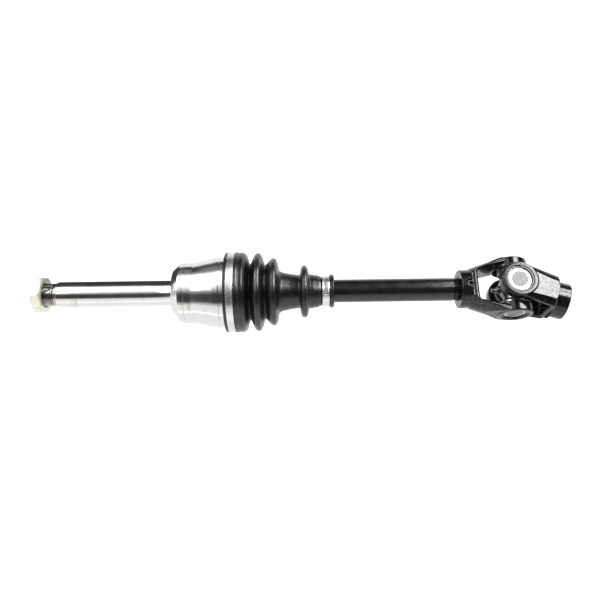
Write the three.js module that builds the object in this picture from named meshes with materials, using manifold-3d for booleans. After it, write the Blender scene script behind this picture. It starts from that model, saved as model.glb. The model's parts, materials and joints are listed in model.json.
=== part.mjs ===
// Front drive half-shaft (CV axle) of a small all-terrain vehicle, in millimetres, +Z up.
// A plunge-free ball CV joint with a stub axle sits at the -X end, a bar shaft runs along +X,
// and a cardan universal joint with its gearcase yoke sits at the +X end.
// The origin is the centre of the stub axle's flat end face, and +X runs along the shaft.
import * as THREE from "three";
import { mergeVertices } from "three/addons/utils/BufferGeometryUtils.js";
import Module from "manifold-3d";

const wasm = await Module();
wasm.setup();

// ---- Driving dimensions ----
const FIT = 0.3; // gap between pieces that touch on the real object
const CUT = 1; // how far a cutting tool runs past the material

const STUB = { radius: 11.1, threadRadius: 9.9, threadLength: 18.5, chamfer: 1.2 };
const NUT = { start: 0.3, thickness: 8.3, acrossFlats: 30, washerRadius: 14.8 };

const CV = { x: 160, pitchRadius: 20.5, ballCount: 6, ballRadius: 6.35, trackRadius: 7.45 };
const BELL = { back: 120.8, mouth: 174, sphereRadius: 25.4, lipRadius: 31.4 };
const CAGE = { outerRadius: 24.5, innerRadius: 19.4, halfWidth: 11, windowHalf: 6.7 };
const RACE = { radius: 18.9, halfWidth: 9 };

const BAR = { radius: 10.1, start: CV.x - 13.2, end: 382.5 };
const SPLINE = { root: 8.6, tip: 9.6, teeth: 22 };
const BORE_SPLINE = { root: SPLINE.root + FIT, tip: SPLINE.tip + FIT };
const CIRCLIP = { start: CV.x - 11.6, end: CV.x - 10.1, groove: 7.6, outer: 10.4 };

const BOOT = { wall: 2.3, cuffStart: 166.5, cuffRadius: 34.9, neckEnd: 260 };
const LARGE_CLAMP = { start: 169.1, end: 175.1, radius: 34.2, band: 0.9 };
const SMALL_CLAMP = { start: 249.7, end: 255.9, radius: 12.5, band: 0.8 };

const U = { x: 415.3, bendDeg: 16.6 };
const EAR = { radius: 15.3, inner: 15.6, outer: 24.7, bore: 10.5 };
const SLOT = { depth: 31.7, atCrotch: 13, atEars: 20.4, corner: 3.5 };
const CUP = { radius: 10.2, inner: 12.6, outer: 23, bore: 9, end: 1.7 };
const NEEDLE = { radius: 0.9, count: 14, pitchRadius: 7.7, length: 7.6 };
const SNAP = { inner: 9.5, outer: 11.6, start: 23.2, end: 24.2, gap: 4, groove: 11.9 };
const SEAL = { inner: 7, outer: 9.7, start: 11.2, end: 12.4 };
const CROSS = { trunnion: 6.5, tip: 20.9, shoulder: 8.6, shoulderEnd: 10.9, hub: 10.4 };
const YOKE_HALF_WIDTH = 14;
const SHAFT_YOKE = { end: 46.7, collar: 16.8 };
const GEARCASE_YOKE = { end: 46.4, collar: 15.8 };
const ROLL_PIN = { x: 376.4, radius: 2.9, bore: 1.9, slot: 0.9, halfLength: 15 };

const FINE = 28; // facets round a large turned piece
const COARSE = 16; // facets round a small one
const BALL_FACETS = [26, 14]; // facets round and along the joint's ball-shaped faces

// ---- Materials ----
const material = (color, roughness, metalness) =>
  new THREE.MeshStandardMaterial({ color, roughness, metalness });
const CHROME = material(0xc9cacb, 0.16, 1);
const ZINC = material(0xc9c59a, 0.35, 1);
const BARE_STEEL = material(0xd2d3d4, 0.28, 1);
const BEARING_STEEL = material(0xb4b6b9, 0.2, 1);
const BLACK_PAINT = material(0x16171a, 0.25, 0.2);
const RUBBER = material(0x101012, 0.35, 0);
const SEAL_RUBBER = material(0x2a2420, 0.6, 0);

// ---- Geometry helpers ----
/** Revolves [x, radius] points about the X axis. The outline runs towards +X on its outside. */
function turned(profile, facets = FINE) {
  const points = profile.map(([x, radius]) => new THREE.Vector2(radius, x));
  return new THREE.LatheGeometry(points, facets).rotateZ(-Math.PI / 2);
}

/** A ring of the given [x, radius] outline, closed on itself. */
function ring(profile, facets = FINE) {
  return turned([...profile, profile[0]], facets);
}

/** A plain hollow cylinder along X. */
function tube(start, end, inner, outer, facets = COARSE) {
  return ring([[start, inner], [start, outer], [end, outer], [end, inner]], facets);
}

/** A plain solid cylinder along X. */
function rod(start, end, radius, facets = COARSE) {
  return turned([[start, 0], [start, radius], [end, radius], [end, 0]], facets);
}

/** Extrudes a shape drawn in the YZ plane along X, from start to end. */
function extrudeX(shape, start, end) {
  const geometry = new THREE.ExtrudeGeometry(shape, { depth: end - start, bevelEnabled: false });
  return geometry.rotateX(Math.PI / 2).rotateZ(Math.PI / 2).translate(start, 0, 0);
}

/** A ball about a point of the X axis, with its poles on that axis. */
function ballShape(radius, x) {
  return new THREE.SphereGeometry(radius, ...BALL_FACETS).rotateZ(Math.PI / 2).translate(x, 0, 0);
}

/** A box between two corners. */
function block(low, high) {
  const size = high.map((value, axis) => value - low[axis]);
  const middle = high.map((value, axis) => (value + low[axis]) / 2);
  return new THREE.BoxGeometry(...size).translate(...middle);
}

/** Turns a closed three.js geometry into a solid that can be cut and joined. */
function solid(geometry) {
  const bare = geometry.clone();
  bare.deleteAttribute("normal");
  bare.deleteAttribute("uv");
  const merged = mergeVertices(bare, 1e-4);
  const mesh = new wasm.Mesh({
    numProp: 3,
    vertProperties: new Float32Array(merged.attributes.position.array),
    triVerts: new Uint32Array(merged.index.array),
  });
  mesh.merge();
  return new wasm.Manifold(mesh);
}

/** Turns a solid back into a three.js geometry. */
function geometryOf(body) {
  const mesh = body.getMesh();
  const geometry = new THREE.BufferGeometry();
  geometry.setAttribute("position", new THREE.BufferAttribute(mesh.vertProperties, 3));
  geometry.setIndex(new THREE.BufferAttribute(mesh.triVerts, 1));
  geometry.computeVertexNormals();
  return geometry;
}

/** One tooth after another round a circle: the section of a straight-sided spline. */
function splineShape({ root, tip }) {
  const pitch = (2 * Math.PI) / SPLINE.teeth;
  const corners = [[-0.15, root], [0.15, root], [0.27, tip], [0.73, tip]];
  const shape = new THREE.Shape();
  for (let tooth = 0; tooth < SPLINE.teeth; tooth += 1) {
    corners.forEach(([fraction, radius], corner) => {
      const angle = (tooth + fraction) * pitch;
      const move = tooth === 0 && corner === 0 ? "moveTo" : "lineTo";
      shape[move](radius * Math.cos(angle), radius * Math.sin(angle));
    });
  }
  shape.closePath();
  return shape;
}

/** The wall of a moulded rubber piece: its outer [x, radius] line and the same line further in. */
function wallOutline(outer, thickness) {
  const inner = outer.map(([x, radius], index) => {
    const before = outer[Math.max(index - 1, 0)];
    const after = outer[Math.min(index + 1, outer.length - 1)];
    const length = Math.hypot(after[0] - before[0], after[1] - before[1]);
    const inward = [(after[1] - before[1]) / length, -(after[0] - before[0]) / length];
    return [x + thickness * inward[0], radius + thickness * inward[1]];
  });
  inner[0][0] = outer[0][0];
  inner[inner.length - 1][0] = outer[outer.length - 1][0];
  return [...outer, ...inner.reverse()];
}

/** A named mesh. */
function piece(name, geometry, finish) {
  const mesh = new THREE.Mesh(geometry, finish);
  mesh.name = name;
  return mesh;
}

/** A group holding the given objects. */
function group(...objects) {
  const holder = new THREE.Group();
  holder.add(...objects);
  return holder;
}

// ---- Outboard CV joint ----
/** Rings that the balls run along: each ring holds two opposite tracks. */
function ballTracks() {
  const rings = [];
  for (let pair = 0; pair < CV.ballCount / 2; pair += 1) {
    const torus = new THREE.TorusGeometry(CV.pitchRadius, CV.trackRadius, 10, 24);
    torus.rotateX((pair * 2 * Math.PI) / CV.ballCount).translate(CV.x, 0, 0);
    rings.push(solid(torus));
  }
  return rings;
}

function outerRace() {
  const outside = solid(turned([
    [0, 0], [0, STUB.threadRadius - STUB.chamfer], [STUB.chamfer, STUB.threadRadius],
    [STUB.threadLength, STUB.threadRadius], [STUB.threadLength + STUB.chamfer, STUB.radius],
    [BELL.back, STUB.radius], [BELL.back, 17.6], [124.6, 24.4], [127.4, 26.1], [130, 26.8],
    [139, 26.9], [148, 29], [158, 31.2], [161.5, 31.9], [161.5, BELL.lipRadius],
    [BELL.mouth, BELL.lipRadius], [BELL.mouth, 0],
  ]));
  const mouth = turned([
    [CV.x + 2, 0], [CV.x + 2, 19.5], [CV.x + 10.5, 22.6],
    [BELL.mouth + CUT, 27.6], [BELL.mouth + CUT, 0],
  ]);
  let body = outside.subtract(solid(ballShape(BELL.sphereRadius, CV.x))).subtract(solid(mouth));
  for (const track of ballTracks()) {
    body = body.subtract(track);
  }
  return geometryOf(body);
}

function hubNut() {
  const corner = NUT.acrossFlats / Math.sqrt(3);
  const end = NUT.start + NUT.thickness;
  const hexagon = new THREE.CylinderGeometry(corner, corner, NUT.thickness, 6);
  hexagon.rotateZ(-Math.PI / 2).rotateX(THREE.MathUtils.degToRad(21));
  hexagon.translate(NUT.start + NUT.thickness / 2, 0, 0);
  const chamfer = turned([
    [NUT.start, 0], [NUT.start, NUT.washerRadius], [NUT.start + 1.5, corner + 0.1],
    [end - 1.5, corner + 0.1], [end, NUT.washerRadius], [end, 0],
  ]);
  const hole = rod(NUT.start - CUT, end + CUT, STUB.threadRadius + FIT);
  return geometryOf(solid(hexagon).intersect(solid(chamfer)).subtract(solid(hole)));
}

function ballCage() {
  const { outerRadius, innerRadius, halfWidth, windowHalf } = CAGE;
  const outer = solid(ballShape(outerRadius, 0));
  const inner = solid(ballShape(innerRadius, 0));
  const band = block([-halfWidth, -outerRadius - CUT, -outerRadius - CUT],
    [halfWidth, outerRadius + CUT, outerRadius + CUT]);
  let body = outer.intersect(solid(band)).subtract(inner);
  for (let ball = 0; ball < CV.ballCount; ball += 1) {
    const opening = block([-windowHalf, 0, -windowHalf], [windowHalf, outerRadius + CUT, windowHalf]);
    opening.rotateX((ball * 2 * Math.PI) / CV.ballCount);
    body = body.subtract(solid(opening));
  }
  return geometryOf(body).translate(CV.x, 0, 0);
}

function innerRace() {
  const band = block([CV.x - RACE.halfWidth, -RACE.radius - CUT, -RACE.radius - CUT],
    [CV.x + RACE.halfWidth, RACE.radius + CUT, RACE.radius + CUT]);
  const bore = extrudeX(splineShape(BORE_SPLINE), CV.x - RACE.halfWidth - CUT,
    CV.x + RACE.halfWidth + CUT);
  let body = solid(ballShape(RACE.radius, CV.x)).intersect(solid(band)).subtract(solid(bore));
  for (const track of ballTracks()) {
    body = body.subtract(track);
  }
  return geometryOf(body);
}

function cvBalls() {
  const balls = [];
  for (let number = 0; number < CV.ballCount; number += 1) {
    const angle = (number * 2 * Math.PI) / CV.ballCount;
    const ball = piece(`cv_ball_${number + 1}`,
      new THREE.SphereGeometry(CV.ballRadius, 12, 7), BEARING_STEEL);
    ball.position.set(CV.x, CV.pitchRadius * Math.cos(angle), CV.pitchRadius * Math.sin(angle));
    balls.push(ball);
  }
  return balls;
}

// ---- Rubber boot and its clamps ----
// The boot is one moulding on the real axle. Its folds are separate rings here, because each
// ring turns with its own share of the joint's angle.
const BOOT_CUFF = [
  [BOOT.cuffStart, 34.4], [BOOT.cuffStart + 0.6, BOOT.cuffRadius],
  [LARGE_CLAMP.start - FIT, BOOT.cuffRadius], [LARGE_CLAMP.start - FIT, LARGE_CLAMP.radius - FIT],
  [LARGE_CLAMP.end + FIT, LARGE_CLAMP.radius - FIT], [LARGE_CLAMP.end + FIT, BOOT.cuffRadius],
  [181.8, BOOT.cuffRadius], [183.6, 34], [185, 31.9],
];
const BOOT_FOLDS = [
  [[185.3, 31.2], [187.6, 24.4], [190.4, 30]],
  [[190.7, 30.8], [193.6, 34.2], [195.8, 34.2], [198.2, 29.6]],
  [[198.5, 29], [200.6, 23.8], [204, 27]],
];
const BOOT_NECK = [
  [204.3, 27.6], [208, 29.6], [210.4, 28], [212.4, 18.1], [222, 15.6], [229.8, 14.6],
  [231, 20.4], [234.4, 22.8], [237.6, 20.4], [238.8, 15], [246.4, 14],
  [247.4, SMALL_CLAMP.radius - FIT], [256.4, SMALL_CLAMP.radius - FIT], [256.6, 14.4],
  [BOOT.neckEnd, 14.4],
];
const BOOT_NECK_INSIDE = [
  [BOOT.neckEnd, BAR.radius + FIT], [239, BAR.radius + FIT], [213.6, 13.6], [209.6, 25.4],
  [208, 27.2], [204.3, 24.8],
];

function bootCuff() {
  const inner = BELL.lipRadius + FIT;
  return ring([...BOOT_CUFF, [185, 29.6], [181.6, inner], [BELL.mouth, inner],
    [BOOT.cuffStart, inner]]);
}

/** A band of thin strip round the boot with the raised loop that its pliers close. */
function clamp({ start, end, radius, band }, loopAngleDeg, loopHeight) {
  const hoop = tube(start, end, radius, radius + band, FINE);
  const loopStart = start + 0.15 * (end - start);
  const loopEnd = end - 0.15 * (end - start);
  const top = radius + band + loopHeight;
  const loop = block([loopStart, -2.2, radius + band / 2], [loopEnd, 2.2, top]);
  const turn = THREE.MathUtils.degToRad(loopAngleDeg);
  return geometryOf(solid(hoop).add(solid(loop.rotateX(turn))));
}

// ---- Bar shaft ----
function driveShaft() {
  const { start, end, groove } = CIRCLIP;
  const tip = solid(turned([
    [BAR.start, 0], [BAR.start, 8.4], [BAR.start + 0.6, 9], [start - FIT, 9],
    [start - FIT, groove], [end + 2 * FIT, groove], [end + 2 * FIT, 0],
  ]));
  const bar = solid(turned([
    [CV.x + 11.4, 0], [CV.x + 11.4, 9.7], [CV.x + 12.4, BAR.radius], [363.8, BAR.radius],
    [364.8, 9.2], [364.8, 0],
  ]));
  const outboard = solid(extrudeX(splineShape(SPLINE), end + FIT, CV.x + 11.6));
  const inboard = solid(extrudeX(splineShape(SPLINE), 364.6, BAR.end));
  const pinHole = rod(-SPLINE.tip - CUT, SPLINE.tip + CUT, ROLL_PIN.radius + FIT)
    .rotateY(Math.PI / 2).translate(ROLL_PIN.x, 0, 0);
  return geometryOf(tip.add(outboard).add(bar).add(inboard).subtract(solid(pinHole)));
}

/** A split spring ring that sits in a groove round the shaft. */
function splitRing({ start, end, inner, outer, gap }) {
  const hoop = tube(start, end, inner, outer);
  const opening = block([start - CUT, -gap / 2, 0], [end + CUT, gap / 2, outer + CUT]);
  return geometryOf(solid(hoop).subtract(solid(opening)));
}

function rollPin() {
  const { x, radius, bore, slot, halfLength } = ROLL_PIN;
  const sleeve = tube(-halfLength, halfLength, bore, radius);
  const gap = block([-halfLength - CUT, -slot / 2, 0], [halfLength + CUT, slot / 2, radius + CUT]);
  return geometryOf(solid(sleeve).subtract(solid(gap))).rotateY(Math.PI / 2).translate(x, 0, 0);
}

// ---- Universal joint ----
// Each yoke is drawn with the joint's centre at the origin, its collar towards +X and its
// bearing cups along Y.
const SHAFT_YOKE_FLARE = [
  [0, 27.6], [4, 28.3], [9, 28.3], [15, 26], [20, 23.7], [26, 21.6], [32, 19.5], [37.6, 17.4],
  [38.8, SHAFT_YOKE.collar],
];
const GEARCASE_YOKE_FLARE = [
  [0, 27.4], [8, 27.2], [15, 25.4], [26, 22.9], [33.2, 21.4], [34.8, 20],
  [35.4, GEARCASE_YOKE.collar],
];

/** The slot between a yoke's arms: flat at its bottom, and wider towards the ears. */
function slotShape() {
  const { depth, atCrotch, atEars, corner } = SLOT;
  const rise = (atEars - atCrotch) / depth;
  const mouth = atEars + rise * (EAR.radius + CUT);
  const shape = new THREE.Shape();
  shape.moveTo(-EAR.radius - CUT, -mouth);
  shape.lineTo(depth - corner, -atCrotch - rise * corner);
  shape.quadraticCurveTo(depth, -atCrotch, depth, -atCrotch + corner);
  shape.lineTo(depth, atCrotch - corner);
  shape.quadraticCurveTo(depth, atCrotch, depth - corner, atCrotch + rise * corner);
  shape.lineTo(-EAR.radius - CUT, mouth);
  shape.closePath();
  return shape;
}

/** A round boss along Y, from the ear's inner face to its outer face. */
function earDrum(radius, start, end, side, facets) {
  const drum = new THREE.CylinderGeometry(radius, radius, end - start, facets);
  return solid(drum.translate(0, (side * (start + end)) / 2, 0));
}

/** A fork whose arms flare from the collar to the ears along the given [x, radius] line. */
function yoke(flare, { end, collar }) {
  const outline = [[0, 0], ...flare, [end - 0.8, collar], [end, collar - 0.8], [end, 0]];
  const collarStart = flare[flare.length - 1][0];
  const width = block([-CUT, -EAR.outer, -YOKE_HALF_WIDTH],
    [collarStart, EAR.outer, YOKE_HALF_WIDTH]);
  const neck = rod(collarStart - CUT, end + CUT, collar + CUT, FINE);
  let body = solid(turned(outline)).intersect(solid(width).add(solid(neck)));
  const depth = 2 * (YOKE_HALF_WIDTH + 6 * CUT);
  const slot = new THREE.ExtrudeGeometry(slotShape(), { depth, bevelEnabled: false, curveSegments: 3 });
  body = body.subtract(solid(slot.translate(0, 0, -depth / 2)));
  for (const side of [-1, 1]) {
    body = body.add(earDrum(EAR.radius, EAR.inner, EAR.outer, side, FINE));
  }
  for (const side of [-1, 1]) {
    body = body.subtract(earDrum(EAR.bore, EAR.inner - CUT, EAR.outer + CUT, side, COARSE));
    const reach = FIT / 2;
    body = body.subtract(earDrum(SNAP.groove, SNAP.start - reach, SNAP.end + reach, side, COARSE));
  }
  const socket = extrudeX(splineShape(BORE_SPLINE), SLOT.depth - 2 * SLOT.corner, end + CUT);
  return body.subtract(solid(socket));
}

function shaftYoke() {
  const hole = rod(-SHAFT_YOKE.collar - CUT, SHAFT_YOKE.collar + CUT, ROLL_PIN.radius + FIT)
    .rotateY(Math.PI / 2).translate(U.x - ROLL_PIN.x, 0, 0);
  return geometryOf(yoke(SHAFT_YOKE_FLARE, SHAFT_YOKE).subtract(solid(hole)));
}

function bearingCup() {
  const { radius, inner, outer, bore, end } = CUP;
  const outline = [[inner, bore], [inner, radius], [outer - 0.7, radius], [outer, radius - 0.7],
    [outer, 6.2], [outer - 0.4, 5.8], [outer - 0.4, 0], [outer - end, 0], [outer - end, bore]];
  return ring(outline, COARSE);
}

/** The needles of one cup, side by side, as one scalloped ring. */
function needleSet() {
  const { radius, count, pitchRadius, length } = NEEDLE;
  const half = Math.PI / count;
  const outline = new THREE.Shape();
  const inside = new THREE.Path();
  for (let step = 0; step < 2 * count; step += 1) {
    const angle = step * half;
    const bulge = step % 2 === 0 ? radius : radius * 0.45;
    const move = step === 0 ? "moveTo" : "lineTo";
    const far = pitchRadius + bulge;
    const near = pitchRadius - bulge;
    outline[move](far * Math.cos(angle), far * Math.sin(angle));
    inside[move](near * Math.cos(angle), near * Math.sin(angle));
  }
  outline.closePath();
  inside.closePath();
  outline.holes.push(inside);
  const start = CUP.inner + 0.3;
  return extrudeX(outline, start, start + length);
}

/** The pieces that sit in one ear of a yoke, drawn along +X from the joint's centre. */
function earPieces(label) {
  return [
    piece(`bearing_cup_${label}`, bearingCup(), BARE_STEEL),
    piece(`needle_set_${label}`, needleSet(), BEARING_STEEL),
    piece(`snap_ring_${label}`, splitRing(SNAP), BEARING_STEEL),
    piece(`trunnion_seal_${label}`, tube(SEAL.start, SEAL.end, SEAL.inner, SEAL.outer), SEAL_RUBBER),
  ];
}

function cross() {
  const { trunnion, tip, shoulder, shoulderEnd, hub } = CROSS;
  const arm = [[0, 0], [0, hub - 1], [7, hub - 1], [8.6, shoulder], [shoulderEnd, shoulder],
    [shoulderEnd, trunnion], [tip - 0.8, trunnion], [tip, trunnion - 0.8], [tip, 0]];
  let body = solid(new THREE.SphereGeometry(hub + 0.6, COARSE, 12));
  for (const quarter of [0, 1, 2, 3]) {
    const branch = turned(arm, COARSE).rotateZ(Math.PI / 2 + (quarter * Math.PI) / 2);
    body = body.add(solid(branch));
  }
  return geometryOf(body).rotateY(Math.PI / 2);
}

// ---- Assembly ----
/** Puts a group drawn along +X on one of the yoke's two ears. */
function onEar(objects, turn) {
  const holder = group(...objects);
  holder.rotation.z = turn;
  return holder;
}

const cvJoint = group(
  piece("outer_race_stub_axle", outerRace(), CHROME),
  piece("hub_nut", hubNut(), ZINC),
  piece("ball_cage", ballCage(), BEARING_STEEL),
  ...cvBalls(),
  piece("inner_race", innerRace(), BEARING_STEEL),
);

const boot = group(
  piece("boot_cuff", bootCuff(), RUBBER),
  ...BOOT_FOLDS.map((outer, index) =>
    piece(`boot_fold_${index + 1}`, ring(wallOutline(outer, BOOT.wall)), RUBBER)),
  piece("boot_neck", ring([...BOOT_NECK, ...BOOT_NECK_INSIDE]), RUBBER),
  piece("boot_clamp_large", clamp(LARGE_CLAMP, 225, 2.4), BARE_STEEL),
  piece("boot_clamp_small", clamp(SMALL_CLAMP, 20, 2), BARE_STEEL),
);

const shaft = group(
  piece("drive_shaft", driveShaft(), BLACK_PAINT),
  piece("inner_race_circlip",
    splitRing({ ...CIRCLIP, inner: CIRCLIP.groove + FIT, gap: 2 }), BEARING_STEEL),
  piece("yoke_roll_pin", rollPin(), BARE_STEEL),
);

const shaftFork = group(
  piece("shaft_yoke", shaftYoke(), BLACK_PAINT),
  onEar(earPieces("y_neg"), Math.PI / 2),
  onEar(earPieces("y_pos"), -Math.PI / 2),
);
shaftFork.rotation.z = Math.PI;
shaftFork.position.x = U.x;

const gearcaseFork = group(
  piece("gearcase_yoke", geometryOf(yoke(GEARCASE_YOKE_FLARE, GEARCASE_YOKE)), BLACK_PAINT),
  onEar(earPieces("z_pos"), Math.PI / 2),
  onEar(earPieces("z_neg"), -Math.PI / 2),
);
gearcaseFork.rotation.order = "ZXY";
gearcaseFork.rotation.set(Math.PI / 2, 0, THREE.MathUtils.degToRad(-U.bendDeg));
gearcaseFork.position.x = U.x;

const spider = piece("cross", cross(), BARE_STEEL);
spider.position.x = U.x;

export default group(cvJoint, boot, shaft, shaftFork, gearcaseFork, spider);
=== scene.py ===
"""Looks for the half-shaft: stub axle, booted CV joint, bar shaft and cardan joint."""

import json
import math

import bmesh
import bpy
from mathutils import Matrix, Vector


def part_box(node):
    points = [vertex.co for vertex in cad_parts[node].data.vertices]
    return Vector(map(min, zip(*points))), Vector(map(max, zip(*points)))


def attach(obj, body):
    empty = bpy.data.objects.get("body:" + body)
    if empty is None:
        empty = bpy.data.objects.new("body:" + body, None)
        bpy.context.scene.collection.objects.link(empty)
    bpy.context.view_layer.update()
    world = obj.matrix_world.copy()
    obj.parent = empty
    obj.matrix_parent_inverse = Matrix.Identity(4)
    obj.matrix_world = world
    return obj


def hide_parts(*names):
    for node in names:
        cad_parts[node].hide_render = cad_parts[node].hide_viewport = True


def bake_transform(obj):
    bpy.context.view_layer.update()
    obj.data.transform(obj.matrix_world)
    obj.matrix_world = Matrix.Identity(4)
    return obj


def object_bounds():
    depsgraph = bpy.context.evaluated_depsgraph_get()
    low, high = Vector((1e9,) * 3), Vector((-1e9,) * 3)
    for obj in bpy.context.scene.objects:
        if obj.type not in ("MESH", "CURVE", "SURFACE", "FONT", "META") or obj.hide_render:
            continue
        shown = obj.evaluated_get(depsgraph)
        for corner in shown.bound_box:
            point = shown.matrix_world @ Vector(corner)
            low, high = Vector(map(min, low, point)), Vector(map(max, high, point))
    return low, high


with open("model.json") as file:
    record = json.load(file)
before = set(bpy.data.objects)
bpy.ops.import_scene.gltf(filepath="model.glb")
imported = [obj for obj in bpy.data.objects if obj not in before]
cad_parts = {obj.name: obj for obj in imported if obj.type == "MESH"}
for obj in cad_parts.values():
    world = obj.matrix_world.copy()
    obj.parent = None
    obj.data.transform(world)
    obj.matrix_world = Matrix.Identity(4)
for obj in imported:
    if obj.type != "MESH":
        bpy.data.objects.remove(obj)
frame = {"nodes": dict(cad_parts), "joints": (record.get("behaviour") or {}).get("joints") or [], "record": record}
cad_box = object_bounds()

MM = 0.001
TAU = 2 * math.pi
record = frame["record"]
joints = {joint["name"]: joint for joint in frame["joints"]}
mounts = {mount["name"]: mount for mount in record["mounts"]}
CV_X = joints["cv_yaw"]["pos_m"][0] / MM
U_X = joints["u_joint_swivel"]["pos_m"][0] / MM
yoke_axis = Vector(mounts["gearcase_yoke_end"]["axis"])
BEND = -math.atan2(yoke_axis.y, yoke_axis.x)
BACK = mounts["hub_shoulder"]["pos_m"][0] / MM
STUB_R, THREAD_R, THREAD_END = 11.1, 9.9, 18.5
PITCH, THREAD_DEPTH = 1.5, 0.95
NUT_FLATS = 30
CAVITY_R = 25.4


# ---------------------------------------------------------------- mesh helpers
def new_object(name, verts, faces, sharp=32):
    """A smooth-shaded object whose vertices are given in millimetres."""
    mesh = bpy.data.meshes.new(name)
    mesh.from_pydata([Vector(v) * MM for v in verts], [], faces)
    bm = bmesh.new()
    bm.from_mesh(mesh)
    bmesh.ops.recalc_face_normals(bm, faces=bm.faces)
    bm.to_mesh(mesh)
    bm.free()
    obj = bpy.data.objects.new(name, mesh)
    bpy.context.scene.collection.objects.link(obj)
    smooth(obj, sharp)
    return obj


def smooth(obj, sharp=32):
    """Shades an object smooth, except at edges sharper than an angle in degrees."""
    obj.data.shade_smooth()
    obj.data.set_sharp_from_angle(angle=math.radians(sharp))


def filleted(points, closed=False, steps=5):
    """Rounds the corners of a line of (x, r) points; a third number is a corner's radius."""
    out = []
    for i, point in enumerate(points):
        radius = point[2] if len(point) > 2 else 0
        if not radius or (not closed and i in (0, len(points) - 1)):
            out.append((point[0], point[1]))
            continue
        before = Vector(points[i - 1][:2])
        corner = Vector(point[:2])
        after = Vector(points[(i + 1) % len(points)][:2])
        u, v = before - corner, after - corner
        half = u.angle(v) / 2
        cut = min(radius / math.tan(half), 0.48 * u.length, 0.48 * v.length)
        radius = cut * math.tan(half)
        centre = corner + (u.normalized() + v.normalized()).normalized() * (radius / math.sin(half))
        start = corner + u.normalized() * cut - centre
        end = corner + v.normalized() * cut - centre
        turn = math.atan2(start.x * end.y - start.y * end.x, start.dot(end))
        for k in range(steps + 1):
            a = turn * k / steps
            out.append((centre.x + start.x * math.cos(a) - start.y * math.sin(a),
                        centre.y + start.x * math.sin(a) + start.y * math.cos(a)))
    return out


def lathe(name, profile, segments=96, closed=False, radius_at=None, sharp=32):
    """Turns a line of (x, r) points about the X axis. radius_at(x, r, angle) may shape it."""
    verts, faces, rings = [], [], []
    for x, r in profile:
        count = 1 if r < 1e-6 else segments
        rings.append(range(len(verts), len(verts) + count))
        for k in range(count):
            angle = TAU * k / segments
            radius = radius_at(x, r, angle) if radius_at and count > 1 else r
            verts.append((x, radius * math.cos(angle), radius * math.sin(angle)))
    pairs = list(zip(rings, rings[1:])) + ([(rings[-1], rings[0])] if closed else [])
    for a, b in pairs:
        if len(a) == len(b) == 1:
            continue
        for k in range(segments):
            n = (k + 1) % segments
            if len(a) == 1:
                faces.append((a[0], b[n], b[k]))
            elif len(b) == 1:
                faces.append((a[k], a[n], b[0]))
            else:
                faces.append((a[k], a[n], b[n], b[k]))
    return new_object(name, verts, faces, sharp)


def prism(name, outline, low, high, axis="X"):
    """Extrudes an outline from low to high along X or Z."""
    place = {"X": lambda u, v, t: (t, u, v), "Z": lambda u, v, t: (u, v, t)}[axis]
    n = len(outline)
    verts = [place(u, v, t) for t in (low, high) for u, v in outline]
    faces = [tuple(range(n)), tuple(range(2 * n - 1, n - 1, -1))]
    faces += [(k, (k + 1) % n, n + (k + 1) % n, n + k) for k in range(n)]
    return new_object(name, verts, faces)


def circle(radius, count=64, turn=0.0):
    return [(radius * math.cos(TAU * k / count + turn), radius * math.sin(TAU * k / count + turn))
            for k in range(count)]


def baked(obj):
    """Applies an object's modifiers."""
    mesh = bpy.data.meshes.new_from_object(
        obj.evaluated_get(bpy.context.evaluated_depsgraph_get()))
    mesh.name = obj.name
    obj.modifiers.clear()
    old, obj.data = obj.data, mesh
    bpy.data.meshes.remove(old)
    return obj


def combine(obj, operation, *tools):
    """Adds, cuts or intersects each tool in turn, and removes it."""
    for tool in tools:
        modifier = obj.modifiers.new("combine", "BOOLEAN")
        modifier.operation = operation
        modifier.solver = "EXACT"
        modifier.object = tool
        baked(obj)
        bpy.data.objects.remove(tool)
    return obj


def cast(obj, voxel, passes):
    """Softens a sharp solid into a forging: remeshed finely, then smoothed."""
    remesh = obj.modifiers.new("remesh", "REMESH")
    remesh.mode = "VOXEL"
    remesh.voxel_size = voxel * MM
    soften = obj.modifiers.new("soften", "SMOOTH")
    soften.factor = 0.5
    soften.iterations = passes
    return baked(obj)


def bevelled(obj, width, segments, limit):
    """Rounds the edges that are sharper than limit degrees."""
    modifier = obj.modifiers.new("bevel", "BEVEL")
    modifier.width = width * MM
    modifier.segments = segments
    modifier.limit_method = "ANGLE"
    modifier.angle_limit = math.radians(limit)
    modifier.harden_normals = False
    baked(obj)
    smooth(obj)
    return obj


def moved(obj, matrix):
    """Moves an object's vertices and leaves its own axes where they are."""
    obj.data.transform(matrix)
    return obj


def joined(obj, *others):
    """Puts other objects' faces into obj as well."""
    bm = bmesh.new()
    bm.from_mesh(obj.data)
    for other in others:
        bm.from_mesh(other.data)
    bm.to_mesh(obj.data)
    bm.free()
    for other in others:
        bpy.data.objects.remove(other)
    return obj


def tooth_outline(root, tip, teeth):
    """The outline of a straight-sided spline; each corner lies at a fraction of the pitch."""
    corners = ((-0.17, root), (0.13, root), (0.29, tip), (0.71, tip))
    return [(r * math.cos((t + f) * TAU / teeth), r * math.sin((t + f) * TAU / teeth))
            for t in range(teeth) for f, r in corners]


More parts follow.
